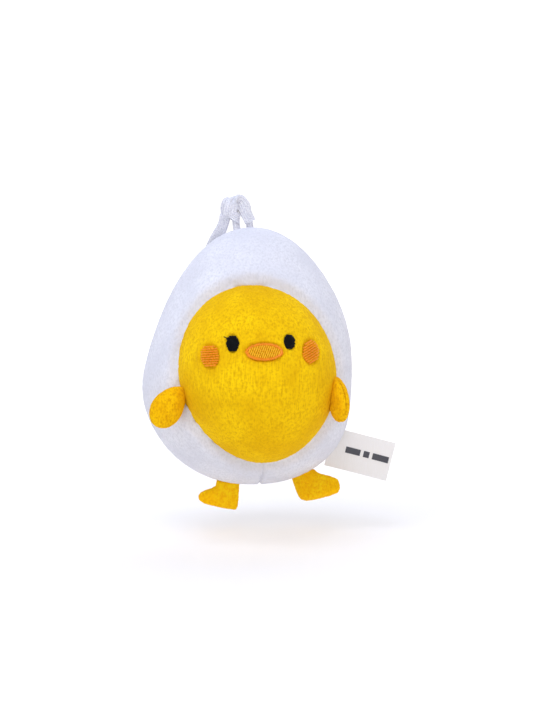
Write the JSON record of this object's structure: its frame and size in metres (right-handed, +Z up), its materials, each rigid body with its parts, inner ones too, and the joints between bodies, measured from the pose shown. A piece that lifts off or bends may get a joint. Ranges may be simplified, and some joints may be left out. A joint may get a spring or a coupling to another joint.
{
  "type": "plush keychain",
  "caption": "Stuffed egg-shaped toy with a domed chick belly, padded wings and feet, a cord loop at the crown, and a ribbon strap with a split key ring.",
  "frame": {"origin": "the hang point: the eye of the cord loop at the crown, at the centre of the loop's bend", "axes": "+Z up along the egg, -Y out of the face, +X to the side of the sewn-in label"},
  "size_m": [0.0923, 0.0755, 0.1159],
  "materials": {
    "white_plush": "short-pile polyester plush",
    "yellow_plush": "short-pile polyester plush",
    "wing_plush": "short-pile polyester plush",
    "foot_plush": "brushed plush felt",
    "fibrefill": "loose polyester fibre",
    "black_thread": "satin-stitched rayon thread",
    "orange_thread": "satin-stitched rayon thread",
    "amber_thread": "satin-stitched rayon thread",
    "white_cord": "woven polyester cord and ribbon",
    "nickel": "bright nickel plate",
    "label_tape": "printed satin tape",
    "sewing_thread": "spun polyester thread"
  },
  "bodies": {
    "toy": {"shell_front": "white_plush", "shell_back_left": "white_plush", "shell_back_right": "white_plush", "belly_cover": "yellow_plush", "body_filling": "fibrefill", "closing_thread": "sewing_thread", "eye_left": "black_thread", "eye_right": "black_thread", "beak_fill": "amber_thread", "beak_outline": "orange_thread", "cheek_left": "orange_thread", "cheek_right": "orange_thread", "crown_loop": "white_cord", "strap_hitch": "white_cord"},
    "wing_left": {"wing_left_front": "wing_plush", "wing_left_back": "wing_plush", "wing_left_filling": "fibrefill"},
    "wing_right": {"wing_right_front": "wing_plush", "wing_right_back": "wing_plush", "wing_right_filling": "fibrefill"},
    "foot_left": {"foot_left_top": "foot_plush", "foot_left_sole": "foot_plush", "foot_left_filling": "fibrefill"},
    "foot_right": {"foot_right_top": "foot_plush", "foot_right_sole": "foot_plush", "foot_right_filling": "fibrefill"},
    "label": {"side_label": "label_tape"},
    "strap": {"strap_tail": "white_cord"},
    "ring": {"key_ring": "nickel"}
  },
  "joints": [
    {"name": "wing_left_flap", "type": "hinge", "parent": "toy", "child": "wing_left", "pos_m": [-0.02282, -0.0235, -0.06525], "axis": [0, 0, 1], "range_deg": [-15, 50], "stiffness_Nm_per_rad": 0.0004},
    {"name": "wing_right_flap", "type": "hinge", "parent": "toy", "child": "wing_right", "pos_m": [0.03115, -0.0235, -0.06235], "axis": [0, 0, 1], "range_deg": [-10, 55], "stiffness_Nm_per_rad": 0.0004},
    {"name": "foot_left_swing", "type": "hinge", "parent": "toy", "child": "foot_left", "pos_m": [-0.0015, -0.002, -0.09947], "axis": [1, 0, 0], "range_deg": [-30, 30], "stiffness_Nm_per_rad": 0.0004},
    {"name": "foot_right_swing", "type": "hinge", "parent": "toy", "child": "foot_right", "pos_m": [0.0184, -0.002, -0.09676], "axis": [1, 0, 0], "range_deg": [-20, 40], "stiffness_Nm_per_rad": 0.0004},
    {"name": "label_fold", "type": "hinge", "parent": "toy", "child": "label", "pos_m": [0.03399, 0, -0.088], "axis": [0.648, 0, 0.7617], "range_deg": [-45, 45], "stiffness_Nm_per_rad": 0.0003},
    {"name": "strap_swing", "type": "hinge", "parent": "toy", "child": "strap", "pos_m": [-0.0058, 0.001, -0.0026], "axis": [1, 0, 0], "range_deg": [0, 180]},
    {"name": "ring_swing", "type": "hinge", "parent": "strap", "child": "ring", "pos_m": [-0.016, 0.0309, -0.06005], "axis": [1, 0, 0], "range_deg": [0, 150]}
  ]
}
